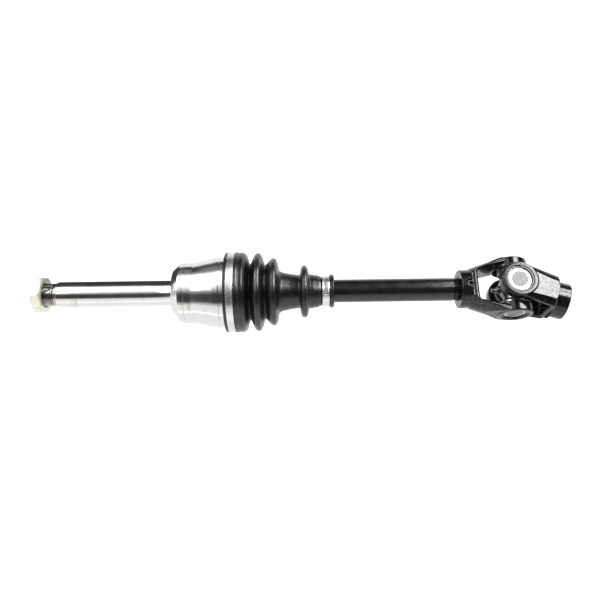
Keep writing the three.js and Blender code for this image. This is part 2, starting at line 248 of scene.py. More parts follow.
# ---------------------------------------------------------------- material helpers
class Finish:
    """Builds one procedural material, in object coordinates scaled to millimetres."""

    def __init__(self, name, roughness=None, metallic=0.0, specular=0.5):
        self.material = bpy.data.materials.new(name)
        self.material.use_nodes = True
        self.tree = self.material.node_tree
        self.shader = self.tree.nodes["Principled BSDF"]
        self.set("Metallic", metallic)
        self.set("Specular IOR Level", specular)
        if roughness is not None:
            self.set("Roughness", roughness)
        coords = self.node("ShaderNodeTexCoord")
        scale = self.node("ShaderNodeMapping")
        scale.inputs["Scale"].default_value = (1 / MM,) * 3
        self.link(coords.outputs["Object"], scale.inputs["Vector"])
        self.mm = scale.outputs["Vector"]
        self.normal = None

    def node(self, kind, **values):
        made = self.tree.nodes.new(kind)
        for key, value in values.items():
            setattr(made, key, value)
        return made

    def link(self, a, b):
        self.tree.links.new(a, b)

    def set(self, socket, value):
        self.shader.inputs[socket].default_value = value

    def stretched(self, scale):
        mapping = self.node("ShaderNodeMapping")
        mapping.inputs["Scale"].default_value = scale
        self.link(self.mm, mapping.inputs["Vector"])
        return mapping.outputs["Vector"]

    def noise(self, scale, detail=4.0, rough=0.55, stretch=None):
        """Noise with features about 1/scale millimetres across."""
        made = self.node("ShaderNodeTexNoise")
        made.inputs["Scale"].default_value = scale
        made.inputs["Detail"].default_value = detail
        made.inputs["Roughness"].default_value = rough
        self.link(self.stretched(stretch) if stretch else self.mm, made.inputs["Vector"])
        return made.outputs["Fac"]

    def ramp(self, value, stops):
        made = self.node("ShaderNodeValToRGB")
        elements = made.color_ramp.elements
        while len(elements) < len(stops):
            elements.new(0.5)
        for element, (position, colour) in zip(elements, stops):
            element.position = position
            element.color = (*colour, 1)
        self.link(value, made.inputs["Fac"])
        return made.outputs["Color"]

    def span(self, value, low, high, start=0.3, end=0.7):
        """Maps start to low and end to high."""
        made = self.node("ShaderNodeMapRange")
        for key, number in (("From Min", start), ("From Max", end), ("To Min", low),
                            ("To Max", high)):
            made.inputs[key].default_value = number
        self.link(value, made.inputs["Value"])
        return made.outputs["Result"]

    def mixed(self, factor, a, b):
        """Colour a where the factor is 0 and colour b where it is 1."""
        made = self.node("ShaderNodeMix", data_type="RGBA")
        first, second = (socket for socket in made.inputs if socket.type == "RGBA")
        for socket, value in ((first, a), (second, b)):
            if isinstance(value, tuple):
                socket.default_value = (*value, 1)
            else:
                self.link(value, socket)
        self.link(factor, made.inputs["Factor"])
        return next(socket for socket in made.outputs if socket.type == "RGBA")

    def colour(self, value):
        self.link(value, self.shader.inputs["Base Color"])

    def rough(self, value):
        self.link(value, self.shader.inputs["Roughness"])

    def bump(self, height, depth, strength=1.0):
        """Adds a bump of the given depth in millimetres."""
        made = self.node("ShaderNodeBump")
        made.inputs["Strength"].default_value = strength
        made.inputs["Distance"].default_value = depth * MM
        self.link(height, made.inputs["Height"])
        if self.normal is not None:
            self.link(self.normal, made.inputs["Normal"])
        self.normal = made.outputs["Normal"]
        self.link(self.normal, self.shader.inputs["Normal"])

    def edges(self, low, high):
        """How much an edge stands proud, from 0 to 1."""
        geometry = self.node("ShaderNodeNewGeometry")
        return self.span(geometry.outputs["Pointiness"], 0, 1, low, high)


def grey(value, warm=0.0):
    """A grey, or a slightly yellow one if warm."""
    return (value * (1 + warm), value, value * (1 - warm))


def ground_steel():
    """Bright steel, turned and ground round the axle, with faint heat and lubricant stains."""
    f = Finish("ground_steel", metallic=1.0)
    lines = f.noise(1.0, 3, 0.7, stretch=(9.0, 0.05, 0.05))
    place = f.node("ShaderNodeSeparateXYZ")
    f.link(f.mm, place.inputs["Vector"])
    across = f.node("ShaderNodeVectorMath", operation="MULTIPLY")
    across.inputs[1].default_value = (0, 1, 1)
    f.link(f.mm, across.inputs[0])
    radius = f.node("ShaderNodeVectorMath", operation="LENGTH")
    f.link(across.outputs["Vector"], radius.inputs[0])
    clouds = f.noise(0.035, 4)
    stains = f.ramp(f.noise(0.06, 5, 0.62, stretch=(1.5, 0.6, 0.6)),
                    [(0.56, (0, 0, 0)), (0.76, (1, 1, 1))])
    base = f.mixed(clouds, grey(0.56, 0.01), grey(0.67, 0.012))
    base = f.mixed(stains, base, (0.43, 0.385, 0.34))
    base = f.mixed(f.span(lines, 0.0, 0.22), base, grey(0.42))
    # The thread is coloured dark brown: fully in its grooves, and on its crests more strongly towards the nut.
    groove = f.span(radius.outputs["Value"], 0.85, 0, THREAD_R - 0.6, THREAD_R - 0.2)
    thread = f.span(place.outputs["X"], 1, 0, THREAD_END - 1, THREAD_END)
    crest = f.span(place.outputs["X"], 0.6, 0.0, 8.5, 13.0)
    thread_darkening = f.node("ShaderNodeMath", operation="MAXIMUM")
    f.link(groove, thread_darkening.inputs[0])
    f.link(crest, thread_darkening.inputs[1])
    thread_darkening_amount = f.node("ShaderNodeMath", operation="MULTIPLY")
    f.link(thread_darkening.outputs[0], thread_darkening_amount.inputs[0])
    f.link(thread, thread_darkening_amount.inputs[1])
    f.colour(f.mixed(thread_darkening_amount.outputs[0], base, (0.045, 0.036, 0.028)))
    f.rough(f.span(f.noise(0.12, 4), 0.13, 0.21))
    f.bump(lines, 0.006, 0.5)
    f.bump(f.noise(0.25, 3), 0.02, 0.25)
    return f.material


def zinc():
    """Yellow-green passivated zinc plate, cloudy and specked."""
    f = Finish("zinc_plate", metallic=0.45)
    tint = f.noise(0.22, 5, 0.6)
    colour = f.ramp(tint, [(0.3, (0.6, 0.6, 0.44)), (0.5, (0.74, 0.75, 0.62)),
                           (0.7, (0.7, 0.67, 0.62))])
    speck = f.ramp(f.noise(2.2, 3), [(0.6, (0, 0, 0)), (0.75, (1, 1, 1))])
    f.colour(f.mixed(speck, colour, (0.35, 0.34, 0.24)))
    f.rough(f.span(f.noise(0.5, 5), 0.24, 0.4))
    f.bump(f.noise(0.9, 5, 0.7), 0.05, 0.3)
    return f.material


def strip_steel():
    """Rolled stainless strip, with its rolling lines round the boot."""
    f = Finish("clamp_steel", metallic=1.0)
    lines = f.noise(1.0, 4, 0.7, stretch=(7.0, 0.12, 0.12))
    f.colour(f.ramp(lines, [(0.3, grey(0.5, 0.02)), (0.7, grey(0.66, 0.02))]))
    f.rough(f.span(f.noise(0.4, 4), 0.24, 0.36))
    f.bump(lines, 0.01, 0.4)
    return f.material


def rubber():
    """Glossy moulded rubber with bloom and dust."""
    f = Finish("boot_rubber", specular=0.5)
    bloom = f.noise(0.05, 5, 0.6)
    dust = f.ramp(f.noise(1.6, 4, 0.7), [(0.62, (0, 0, 0)), (0.82, (1, 1, 1))])
    base = f.ramp(bloom, [(0.35, (0.004, 0.004, 0.0045)), (0.7, (0.009, 0.009, 0.01))])
    f.colour(f.mixed(dust, base, (0.022, 0.021, 0.02)))
    f.rough(f.span(f.noise(0.11, 5), 0.25, 0.36))
    f.bump(f.noise(0.35, 4), 0.05, 0.25)
    f.bump(f.noise(3.0, 3), 0.008, 0.3)
    return f.material


def black_paint(name, lumps, rough_low, rough_high, edge_wear_and_highlight):
    """Gloss black paint over metal, thin on the edges, where a lighter grey is partly wear and partly a painted
    highlight; lumps is the depth of the forging's skin.
    """
    f = Finish(name, specular=0.5)
    base = f.ramp(f.noise(0.08, 5, 0.6),
                  [(0.35, (0.004, 0.0038, 0.0036)), (0.7, (0.009, 0.0086, 0.0082))])
    speck = f.ramp(f.noise(2.6, 3, 0.6), [(0.66, (0, 0, 0)), (0.78, (1, 1, 1))])
    base = f.mixed(speck, base, grey(0.05, 0.04))
    if edge_wear_and_highlight:
        # Lighter grey on the proud edges: partly rubbed-through paint, partly a painted highlight where the edges
        # would catch the light.
        rub = f.noise(0.7, 5, 0.7)
        wear_and_highlight = f.node("ShaderNodeMath", operation="MULTIPLY")
        f.link(f.edges(0.6, 0.72), wear_and_highlight.inputs[0])
        f.link(f.span(rub, 0.0, edge_wear_and_highlight, 0.35, 0.6), wear_and_highlight.inputs[1])
        base = f.mixed(wear_and_highlight.outputs[0], base, grey(0.42, 0.03))
        # A thin film of dust dulls the gloss in patches.
        film = f.span(f.noise(0.45, 6, 0.72), 0.52, 0.26, 0.4, 0.62)
        f.link(film, f.shader.inputs["Specular IOR Level"])
    f.colour(base)
    f.rough(f.span(f.noise(0.15, 5), rough_low, rough_high))
    f.bump(f.noise(0.22, 5, 0.6), lumps, 0.5)
    f.bump(f.noise(1.5, 3), 0.012, 0.3)
    return f.material


def machined(name, low, high, rough_low, rough_high):
    """Bare machined steel, cloudy and lightly pitted."""
    f = Finish(name, metallic=1.0)
    cloud = f.noise(0.3, 5, 0.65)
    base = f.ramp(cloud, [(0.3, grey(low, 0.01)), (0.7, grey(high, 0.01))])
    pits = f.ramp(f.noise(2.4, 4, 0.7), [(0.64, (0, 0, 0)), (0.8, (1, 1, 1))])
    f.colour(f.mixed(pits, base, grey(low * 0.55, 0.03)))
    f.rough(f.span(f.noise(0.8, 4), rough_low, rough_high))
    f.bump(f.noise(1.1, 5, 0.7), 0.015, 0.35)
    return f.material


def seal_rubber():
    """Dull brown-black rubber."""
    f = Finish("seal_rubber", specular=0.4)
    f.colour(f.ramp(f.noise(0.6, 4), [(0.3, (0.035, 0.026, 0.02)), (0.7, (0.07, 0.052, 0.04))]))
    f.rough(f.span(f.noise(1.2, 4), 0.45, 0.65))
    f.bump(f.noise(2.0, 4), 0.02, 0.4)
    return f.material


STEEL = ground_steel()
ZINC = zinc()
STRIP = strip_steel()
RUBBER = rubber()
BAR_PAINT = black_paint("bar_paint", 0.02, 0.2, 0.3, 0)
YOKE_PAINT = black_paint("yoke_paint", 0.07, 0.1, 0.2, 0.75)
CAP_STEEL = machined("cap_steel", 0.4, 0.5, 0.34, 0.45)
CAP_DISC = machined("cap_disc", 0.26, 0.34, 0.74, 0.84)
CROSS_STEEL = machined("cross_steel", 0.14, 0.26, 0.26, 0.42)
BEARING = machined("bearing_steel", 0.48, 0.6, 0.16, 0.28)
# Near-black steel: painted shade for the roll pin's end, down in its hole; the snap rings use it too.
SHADED_SPRING_STEEL = machined("spring_steel_painted_shade", 0.04, 0.09, 0.35, 0.5)
SEAL = seal_rubber()


def finished(obj, material, body, slot, *nodes):
    """Gives a piece its material and body, and hides the CAD nodes it stands for; slot is not used."""
    if not obj.data.materials:
        obj.data.materials.append(material)
    if body:
        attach(obj, body)
    if nodes:
        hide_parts(*nodes)
    return obj


# ---------------------------------------------------------------- stub axle and bell


def thread_radius(x, r, angle):
    """The radius of a right-hand thread that starts in the chamfer and runs out at its end."""
    if x > THREAD_END - 0.4:
        return r
    turn = (x / PITCH - angle / TAU) % 1.0
    tooth = min(1.0, max(0.0, 2.4 * abs(turn - 0.5) - 0.12))
    cut = THREAD_DEPTH * tooth * min(1.0, (THREAD_END - x) / 1.6)
    return min(r, THREAD_R - cut)


def stub_profile():
    """The stub's threaded end, its shank, the bell's outside and its cavity, end to end."""
    line = [(0, 0), (0, 6.6), (0.05, 6.9), (0.25, 8.5)]
    rows = int(THREAD_END / PITCH * 10)
    for k in range(rows):
        x = 0.35 + (THREAD_END - 0.4) * k / rows
        line.append((x, min(THREAD_R, 8.6 + 0.9 * x)))
    line += [(THREAD_END, THREAD_R - 0.1)]
    rest = filleted([
        (THREAD_END + 0.1, THREAD_R - 0.5), (THREAD_END + 0.7, THREAD_R - 0.5, 0.4),
        (THREAD_END + 1.9, STUB_R, 0.8), (60, STUB_R), (100, STUB_R), (BACK - 1.5, STUB_R),
        (BACK, STUB_R + 0.9, 1.2), (BACK, 17.6, 0.3), (BACK + 0.5, 20.2, 0.6),
        (127.5, 26.3, 0.8), (131.9, 26.75, 0.12), (132.1, 26.35, 0.12), (132.5, 26.35, 0.12),
        (132.7, 26.75, 0.12), (139.2, 26.9, 3), (148, 29.0, 6), (157.5, 31.0, 4),
        (162.2, 31.75, 0.8), (162.8, 31.3, 0.5), (173.2, 31.3, 0.6), (174, 30.6, 0.4),
        (174, 27.4, 0.5), (170.5, 26.0), (162, 22.6),
    ])
    # The joint's inside is a sphere about the joint's centre.
    depths = [162 - 2.2 * k for k in range(1, 12)]
    cavity = [(x, math.sqrt(CAVITY_R ** 2 - (x - CV_X) ** 2)) for x in depths]
    return line + rest + [(162, 25.3)] + cavity + [(CV_X - CAVITY_R, 0)]


TRACK_PITCH_R, TRACK_R = 20.5, 7.45
bell = lathe("bell_and_stub", stub_profile(), 128, radius_at=thread_radius, sharp=38)


def torus(name, major, minor, turn):
    """A ring in the plane of the X axis, turned about that axis."""
    verts, faces, n, m = [], [], 72, 24
    for i in range(n):
        for j in range(m):
            a, b = TAU * i / n, TAU * j / m
            r = major + minor * math.cos(b)
            y, z = r * math.sin(a), minor * math.sin(b)
            verts.append((CV_X + r * math.cos(a), y * math.cos(turn) - z * math.sin(turn),
                          y * math.sin(turn) + z * math.cos(turn)))
            faces.append((i * m + j, (i + 1) % n * m + j, (i + 1) % n * m + (j + 1) % m,
                          i * m + (j + 1) % m))
    return new_object(name, verts, faces)


combine(bell, "DIFFERENCE", *[torus("track", TRACK_PITCH_R, TRACK_R, k * TAU / 6)
                              for k in range(3)])
smooth(bell, 38)
finished(bell, STEEL, "hub_side", "chrome_steel", "outer_race_stub_axle")


# ---------------------------------------------------------------- hub nut
def hub_nut():
    """A hexagon nut, chamfered on both ends and turned as the CAD nut is."""
    low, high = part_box("hub_nut")
    start, end = low.x / MM, high.x / MM
    far = max((v.co for v in frame["nodes"]["hub_nut"].data.vertices),
              key=lambda co: co.y ** 2 + co.z ** 2)
    corner = NUT_FLATS / math.sqrt(3)
    washer = NUT_FLATS / 2 - 0.2
    nut = prism("axle_nut", circle(corner, 6, math.atan2(far.z, far.y)), start, end)
    # Both ends are turned to a flat of radius washer, at a slope of two to one.
    chamfer = lathe("chamfer", [
        (start - 0.5, 0), (start - 0.5, washer - 1), (start + 1.5, washer + 3),
        (end - 1.5, washer + 3), (end + 0.5, washer - 1), (end + 0.5, 0)], 96)
    combine(nut, "INTERSECT", chamfer)
    hole = lathe("hole", [
        (start - 1, 0), (start - 1, 12.1), (start + 1.1, 10.1), (end - 1.1, 10.1),
        (end + 1, 12.1), (end + 1, 0)], 96)
    combine(nut, "DIFFERENCE", hole)
    bevelled(nut, 0.22, 2, 20)
    return finished(nut, ZINC, "hub_side", "zinc_plate", "hub_nut")


hub_nut()

# ---------------------------------------------------------------- boot
WALL, CUFF_BORE, NECK_BORE = 2.3, 31.7, 10.6
# The boot's outside, from the cuff over the bell to the end of its neck: x, r, corner radius.
BOOT_LINE = [
    (166.5, 34.2), (166.7, 34.9, 0.5), (168.6, 34.95, 0.4), (168.9, 33.95, 0.2),
    (175.3, 33.95, 0.2), (175.6, 34.9, 0.3), (177.2, 35.05, 0.6), (178.3, 34.45, 0.5),
    (179.6, 34.85, 0.8), (182.3, 34.6, 2.2), (184.6, 32.6, 2.4), (186.6, 25.6, 1.3),
    (187.55, 24.5, 0.9), (188.5, 25.4, 1.3), (190.8, 31.2, 1.6), (192.6, 33.6, 2.0),
    (194.8, 34.3, 1.8), (196.6, 33.4, 2.0), (198.3, 30.0, 1.8), (199.8, 24.6, 1.2),
    (200.65, 23.7, 0.8), (201.7, 24.4, 1.2), (204.6, 28.0, 1.6), (206.6, 29.3, 1.6),
    (208.3, 29.5, 1.6), (210.0, 28.6, 1.6), (211.5, 25.0, 1.6), (212.5, 18.9, 1.2),
    (214.6, 17.2, 3), (222, 15.6, 5), (229.5, 14.5, 1.2), (230.6, 15.4, 0.8),
    (231.2, 20.2, 1.4), (232.6, 22.5, 1.6), (234.4, 22.9, 1.6), (236.2, 22.4, 1.6),
    (237.5, 20.2, 1.4), (238.4, 15.8, 0.8), (239.4, 14.9, 0.8), (242.2, 14.6, 0.6),
    (243.0, 14.15, 0.3), (243.8, 14.5, 0.3), (244.6, 14.05, 0.3), (245.4, 14.35, 0.3),
    (246.6, 13.6, 0.6), (248.4, 12.9, 0.5), (249.3, 12.2, 0.2), (256.1, 12.2, 0.2),
    (256.4, 14.0, 0.4), (257.2, 14.6, 0.6), (259.2, 14.5, 0.7), (260, 13.4),
]
# Each seam is a plane across the boot, where one span of it meets the next.
SEAMS = (185.4, 194.8, 206.4)


def boot_inside(line):
    """The same line a wall's thickness further in, never tighter than the shaft or bell."""
    out = []
    for i, (x, r) in enumerate(line):
        before, after = line[max(i - 2, 0)], line[min(i + 2, len(line) - 1)]
        du, dv = after[0] - before[0], after[1] - before[1]
        length = math.hypot(du, dv)
        thickness = 0.6 * WALL if 183.5 < x < 212 else WALL
        u, v = x + thickness * dv / length, r - thickness * du / length
        if x < 181.5:
            u, v = x, CUFF_BORE
        if x > 228:
            u, v = x, NECK_BORE
        out.append((u, max(v, NECK_BORE)))
    for i in range(1, len(out)):
        if out[i][0] <= out[i - 1][0]:
            out[i] = (out[i - 1][0] + 0.004, out[i][1])
    return out


def between(line, low, high):
    """The part of a line from x = low to x = high, cut square at both."""
    kept = []
    for (x, r), (u, v) in zip(line, line[1:]):
        if low < x < high:
            kept.append((x, r))
        for cut in (low, high):
            if x <= cut < u:
                kept.append((cut, r + (v - r) * (cut - x) / (u - x)))
    return kept


def boot_parts():
    outer = filleted(BOOT_LINE, steps=7)
    inner = boot_inside(outer)
    # Both lines run on past the neck's end, so that the last cut finds them.
    outer, inner = outer + [(300, NECK_BORE)], inner + [(300, NECK_BORE)]
    limits = (0, *SEAMS, BOOT_LINE[-1][0])
    names = ("boot_cuff_part", "boot_outer_rib", "boot_inner_rib", "boot_neck_part")
    nodes = (("boot_cuff", "boot_fold_1"), ("boot_fold_2",), ("boot_fold_3",), ("boot_neck",))
    for number, name in enumerate(names):
        low, high = limits[number], limits[number + 1]
        profile = between(outer, low, high) + between(inner, low, high)[::-1]
        part = lathe(name, profile, 144, closed=True, sharp=50)
        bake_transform(part)
        finished(part, RUBBER, None, "boot_rubber", *nodes[number])


boot_parts()


# ---------------------------------------------------------------- boot clamps
def clamp(name, node, body, bead, loop_width, loop_height):
    """A band with rolled edges, an overlap step and a crimped ear."""
    low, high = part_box(node)
    start, end = low.x / MM, high.x / MM
    node_points = [v.co for v in frame["nodes"][node].data.vertices]
    ear = max(node_points, key=lambda co: co.y ** 2 + co.z ** 2)
    inner = min(math.hypot(co.y, co.z) for co in node_points) / MM + 0.08
    band = 0.8
    outside = inner + band
    where = math.atan2(ear.z, ear.y)

    def overlap(x, r, angle):
        """The strip's outer end lies over its inner end and steps down just past the ear."""
        gap = (angle - where) % TAU
        step = 0.28 * (1 - min(1.0, gap / 1.1)) if gap < 1.1 else 0.0
        return r + (step if r > inner + 0.3 else 0.0)

    line = filleted([
        (start, inner, 0.15), (start, outside + bead, 0.35), (start + 0.9, outside + bead, 0.35),
        (start + 1.3, outside, 0.4), (end - 1.3, outside, 0.4), (end - 0.9, outside + bead, 0.35),
        (end, outside + bead, 0.35), (end, inner, 0.15)], closed=True, steps=3)
    hoop = lathe(name, line, 180, closed=True, radius_at=overlap, sharp=60)
    # The crimped ear: two legs pinched together under a rounded top, drawn round the X axis.
    top = outside + loop_height
    shape = [(-loop_width, outside - 0.35), (-0.62 * loop_width, outside + 0.3),
             (-0.42 * loop_width, outside + 0.55 * loop_height),
             (-0.52 * loop_width, top - 0.4), (-0.3 * loop_width, top), (0.3 * loop_width, top),
             (0.52 * loop_width, top - 0.4), (0.42 * loop_width, outside + 0.55 * loop_height),
             (0.62 * loop_width, outside + 0.3), (loop_width, outside - 0.35)]
    inset = 0.14 * (end - start)
    crimp = prism("crimp", shape, start + inset, end - inset)
    bevelled(crimp, 0.25, 3, 20)
    slit = prism("slit", circle(0.3 * loop_width, 16), start - 1, end + 1)
    moved(slit, Matrix.Translation((0, 0, (outside + 0.22 * loop_height) * MM)))
    combine(crimp, "DIFFERENCE", slit)
    moved(crimp, Matrix.Rotation(where - math.pi / 2, 4, "X"))
    joined(hoop, crimp)
    smooth(hoop, 40)
    finished(hoop, STRIP, body, "clamp_steel", node)


clamp("large_clamp", "boot_clamp_large", "hub_side", 0.1, 3.6, 2.2)
clamp("small_clamp", "boot_clamp_small", "shaft", 0.25, 2.4, 1.7)


# ---------------------------------------------------------------- bar shaft
SPLINE_ROOT, SPLINE_TIP, TEETH = 8.6, 9.55, 22


def bar_shaft():
    """The black bar, with a spline at each end, a circlip groove and the roll pin's hole."""
    low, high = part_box("drive_shaft")
    start, end = low.x / MM, high.x / MM
    shoulder = 364.2
    bar = lathe("bar_shaft", filleted([
        (CV_X + 11.4, 0), (CV_X + 11.4, 9.5, 0.3), (CV_X + 12.4, 10.0, 0.6), (200, 10.0),
        (260, 10.0), (320, 10.0), (shoulder - 0.7, 10.0, 0.5), (shoulder, 9.2, 0.3),
        (shoulder + 0.6, 9.0), (shoulder + 0.6, 0)]), 128, sharp=45)
    outboard = prism("outboard_spline", tooth_outline(SPLINE_ROOT, SPLINE_TIP, TEETH),
                     start + 5.2, CV_X + 12)
    tip = lathe("tip", filleted([
        (start, 0), (start, 8.2, 0.4), (start + 0.9, 8.9, 0.4), (start + 2.2, 8.9, 0.1),
        (start + 2.3, 7.6, 0.1), (start + 4.1, 7.6, 0.1), (start + 4.2, 8.6), (start + 5.4, 8.6),
        (start + 5.4, 0)]), 64)
    inboard = prism("inboard_spline", tooth_outline(SPLINE_ROOT, SPLINE_TIP, TEETH),
                    shoulder, end)
    combine(bar, "UNION", outboard, tip, inboard)
    pin = lathe("pin_hole", [(-14, 0), (-14, 3.2), (14, 3.2), (14, 0)], 40)
    moved(pin, Matrix.Translation((PIN_X * MM, 0, 0)) @ Matrix.Rotation(math.pi / 2, 4, "Y"))
    combine(bar, "DIFFERENCE", pin)
    smooth(bar, 30)
    finished(bar, BAR_PAINT, "shaft", "black_paint", "drive_shaft")


pin_low, pin_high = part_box("yoke_roll_pin")
PIN_X = (pin_low.x + pin_high.x) / 2 / MM
bar_shaft()


# ---------------------------------------------------------------- universal joint
EAR_R, EAR_IN, EAR_OUT, EAR_BORE = 15.3, 15.6, 24.7, 10.45
HALF_WIDTH = 14.0
RING_SEAT, RING_BORE = 23.05, 11.75
ARM_OUT, ARM_END = 24.2, 19.4
SLOT_DEPTH, SLOT_CROTCH, SLOT_EARS, SLOT_CORNER = 31.7, 13.0, 20.4, 3.2


def slot_outline(grow=0.0):
    """The slot between the arms, wider all round by grow."""
    rise = (SLOT_EARS - SLOT_CROTCH) / SLOT_DEPTH
    mouth = SLOT_EARS + rise * (EAR_R + 2) + grow
    crotch, depth = SLOT_CROTCH + grow, SLOT_DEPTH + grow
    line = [(-EAR_R - 2, -mouth), (depth, -crotch, SLOT_CORNER), (depth, crotch, SLOT_CORNER),
            (-EAR_R - 2, mouth)]
    return filleted(line, steps=6)


def slot_chamfer(side):
    """A cutter that breaks the slot's edges on one side of the fork."""
    rings = ((0.0, HALF_WIDTH - 1.7), (3.0, HALF_WIDTH + 1.3))
    outlines = [(slot_outline(grow), side * z) for grow, z in rings]
    n = len(outlines[0][0])
    verts = [(u, v, z) for outline, z in outlines for u, v in outline]
    faces = [tuple(range(n)), tuple(range(n, 2 * n))]
    faces += [(k, (k + 1) % n, n + (k + 1) % n, n + k) for k in range(n)]
    return new_object("chamfer", verts, faces)


def along_y(obj, side):
    """Turns a tool drawn along +X to lie along +Y or -Y."""
    return moved(obj, Matrix.Rotation(side * math.pi / 2, 4, "Z"))


def yoke(name, flare, end, collar, pin_hole=None):
    """A yoke with its collar towards +X and its ears along Y: forged, then machined."""
    body = lathe(name, filleted([(-1, 0), *flare, (end - 0.4, collar, 0.6), (end, collar - 0.7),
                                 (end, 0)]), 128)
    neck = flare[-1][0]
    # The arms' outer faces are flat, and slope from the ears down to the shoulder.
    arms = prism("arms", [
        (-2, -ARM_OUT), (12, -ARM_OUT), (neck, -ARM_END), (neck, ARM_END), (12, ARM_OUT),
        (-2, ARM_OUT)], -HALF_WIDTH, HALF_WIDTH, "Z")
    tube = lathe("tube", [(neck - 1, 0), (neck - 1, collar + 2), (end + 2, collar + 2),
                          (end + 2, 0)], 64)
    combine(body, "INTERSECT", combine(arms, "UNION", tube))
    combine(body, "DIFFERENCE", prism("slot", slot_outline(), -22, 22, "Z"),
            slot_chamfer(1), slot_chamfer(-1))
    for side in (-1, 1):
        drum = along_y(lathe("drum", filleted([
            (EAR_IN, 0), (EAR_IN, EAR_R - 0.6, 0.4), (EAR_IN + 0.6, EAR_R, 0.4),
            (EAR_OUT - 0.9, EAR_R, 0.7), (EAR_OUT, EAR_R - 0.9, 0.5), (EAR_OUT, 0)]), 96), side)
        combine(body, "UNION", drum)
    cast(body, 0.36, 3)
    for side in (-1, 1):
        bore = along_y(lathe("bore", [
            (EAR_IN - 6, 0), (EAR_IN - 6, EAR_BORE), (RING_SEAT, EAR_BORE), (RING_SEAT, RING_BORE),
            (EAR_OUT - 0.35, RING_BORE), (EAR_OUT + 1, RING_BORE + 1.35), (EAR_OUT + 1, 0)],
            96, sharp=30), side)
        combine(body, "DIFFERENCE", bore)
    core = lathe("core", [(SLOT_DEPTH - 8, 0), (SLOT_DEPTH - 8, 10.2), (end - 0.9, 10.2),
                          (end + 1, 12.1), (end + 1, 0)], 96)
    combine(body, "DIFFERENCE", core)
    if pin_hole is not None:
        for side in (-1, 1):
            hole = lathe("hole", [(8, 0), (8, 3.15), (15.7, 3.15), (19.5, 6.2), (19.5, 0)], 48)
            moved(hole, Matrix.Rotation(-side * math.pi / 2, 4, "Y"))
            moved(hole, Matrix.Translation((pin_hole * MM, 0, 0)))
            combine(body, "DIFFERENCE", hole)
    liner = prism("liner", circle(10.5, 88), SLOT_DEPTH + 0.5, end - 0.9)
    teeth = prism("teeth", tooth_outline(SPLINE_ROOT + 0.3, SPLINE_TIP + 0.35, TEETH),
                  SLOT_DEPTH - 2, end + 2)
    combine(liner, "DIFFERENCE", teeth)
    joined(body, liner)
    smooth(body, 40)
    return body


PLACE_A = Matrix.Translation((U_X * MM, 0, 0)) @ Matrix.Rotation(math.pi, 4, "Z")
PLACE_B = (Matrix.Translation((U_X * MM, 0, 0)) @ Matrix.Rotation(-BEND, 4, "Z")
           @ Matrix.Rotation(math.pi / 2, 4, "X"))
SHAFT_FLARE = [(-1, 27.4), (4, 28.2, 3), (9, 28.1, 4), (15, 25.9, 6), (20, 23.7, 6),
               (26, 21.6, 6), (32, 19.6, 5), (37.2, 17.7, 1.0), (38.4, 16.8, 0.8)]
GEARCASE_FLARE = [(-1, 27.2), (8, 27.2, 5), (15, 25.4, 6), (26, 22.9, 6), (33.0, 21.5, 1.4),
                  (34.6, 20.0, 0.8), (35.2, 15.8, 0.6)]


def placed(obj, place):
    """Puts a piece in place and keeps its own axes for its material."""
    obj.matrix_world = place
    return obj


shaft_fork = placed(yoke("shaft_fork", SHAFT_FLARE, end=46.7, collar=16.8,
                         pin_hole=U_X - PIN_X), PLACE_A)
finished(shaft_fork, YOKE_PAINT, "shaft", "black_paint", "shaft_yoke")
gearcase_fork = placed(yoke("gearcase_fork", GEARCASE_FLARE, end=46.4, collar=15.8), PLACE_B)
finished(gearcase_fork, YOKE_PAINT, "gearcase_side", "black_paint", "gearcase_yoke")


def roll_pin():
    """A slotted spring pin through the shaft's yoke and the bar."""
    low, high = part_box("yoke_roll_pin")
    half = (high.z - low.z) / 2 / MM
    sleeve = lathe("roll_pin", filleted([
        (-half, 1.9), (-half, 2.5), (-half + 0.7, 2.85, 0.3), (half - 0.7, 2.85, 0.3),
        (half, 2.5), (half, 1.9)]), 40, closed=True)
    gap = prism("gap", [(-half - 1, -0.45), (half + 1, -0.45), (half + 1, 0.45), (-half - 1, 0.45)],
                0, 4, "Z")
    combine(sleeve, "DIFFERENCE", gap)
    moved(sleeve, Matrix.Translation((PIN_X * MM, 0, 0)) @ Matrix.Rotation(math.pi / 2, 4, "Y"))
    smooth(sleeve, 35)
    # The pin's near-black colour is painted shade for its end down in the hole.
    finished(sleeve, SHADED_SPRING_STEEL, "shaft", "bright_steel", "yoke_roll_pin")


roll_pin()

EARS = {"y_neg": (PLACE_A, math.pi / 2, "shaft"), "y_pos": (PLACE_A, -math.pi / 2, "shaft"),
        "z_pos": (PLACE_B, math.pi / 2, "gearcase_side"),
        "z_neg": (PLACE_B, -math.pi / 2, "gearcase_side")}


# The faces of a cup's sunken end disc lie above DISC_LOW and within DISC_R of its axis.
DISC_LOW, DISC_R = 21.5, 6.7


